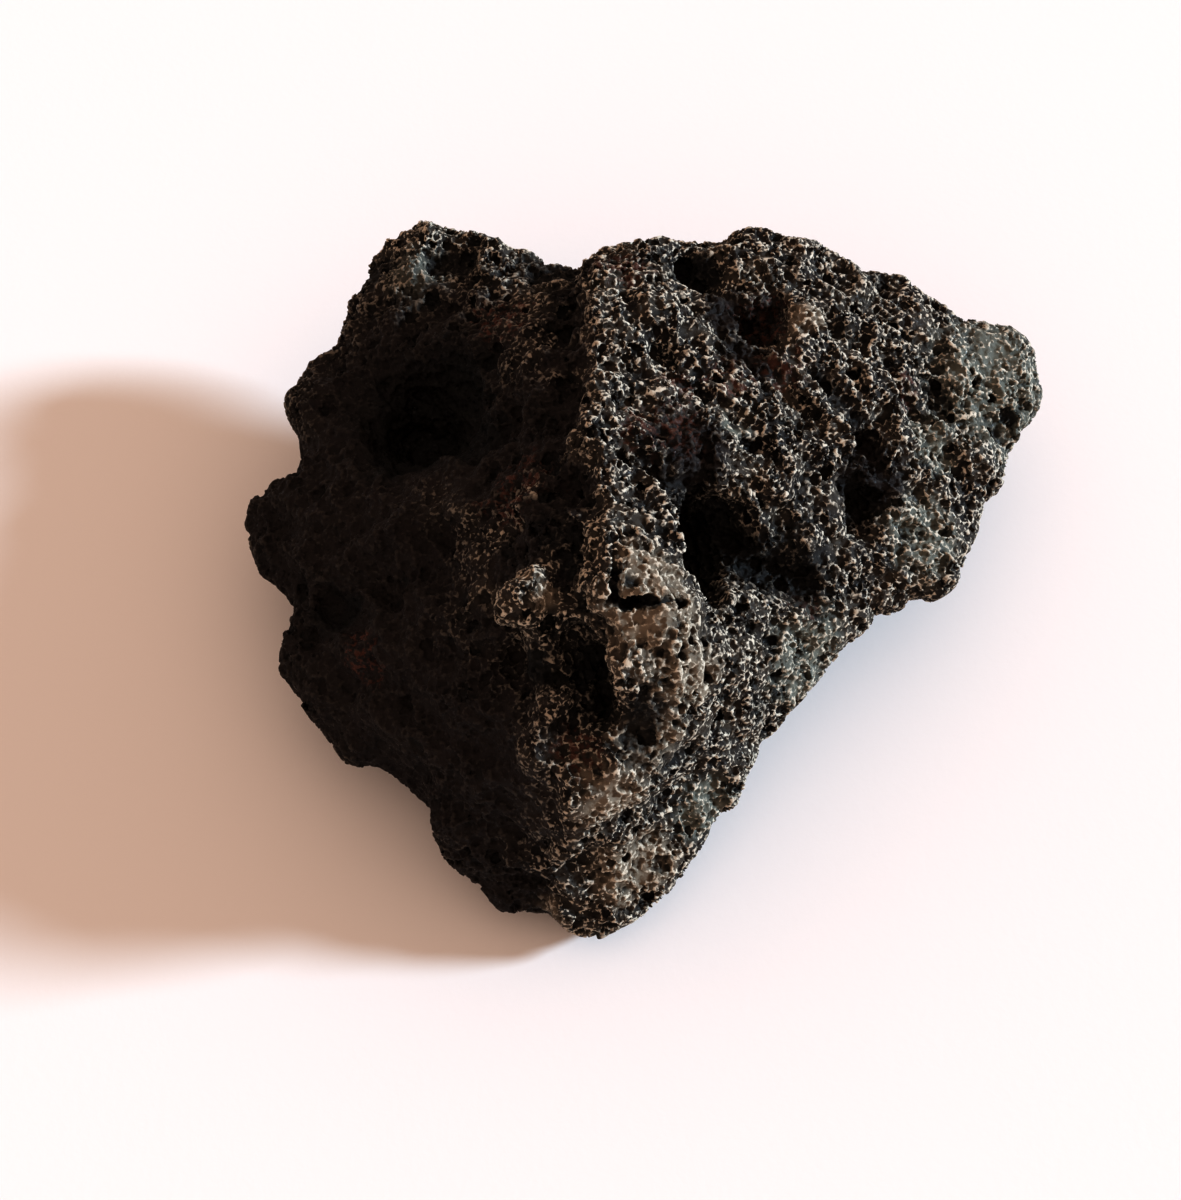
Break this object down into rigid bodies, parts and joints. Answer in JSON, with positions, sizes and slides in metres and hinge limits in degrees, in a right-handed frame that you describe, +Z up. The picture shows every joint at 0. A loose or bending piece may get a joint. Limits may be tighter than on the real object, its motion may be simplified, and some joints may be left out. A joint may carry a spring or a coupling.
{
  "type": "lava rock",
  "caption": "Hand-sized lump of dark vesicular basalt, a fan-shaped wedge with a high crest, a pointed foot and a rough pitted surface, resting on a small flat spot.",
  "frame": {"origin": "on the table, under the middle of the rock's bounding box", "axes": "+X along the longest extent, towards the blunt tip on the right; +Y towards the cliff at the back, away from the pointed foot; +Z up from the surface that the rock rests on"},
  "size_m": [0.0808, 0.072, 0.0345],
  "materials": {
    "vesicular_basalt": "rough, dark grey-black crust with rust-brown and grey-green patches and small glassy glints"
  },
  "bodies": {
    "root": {"lava_rock": "vesicular_basalt"}
  },
  "joints": []
}
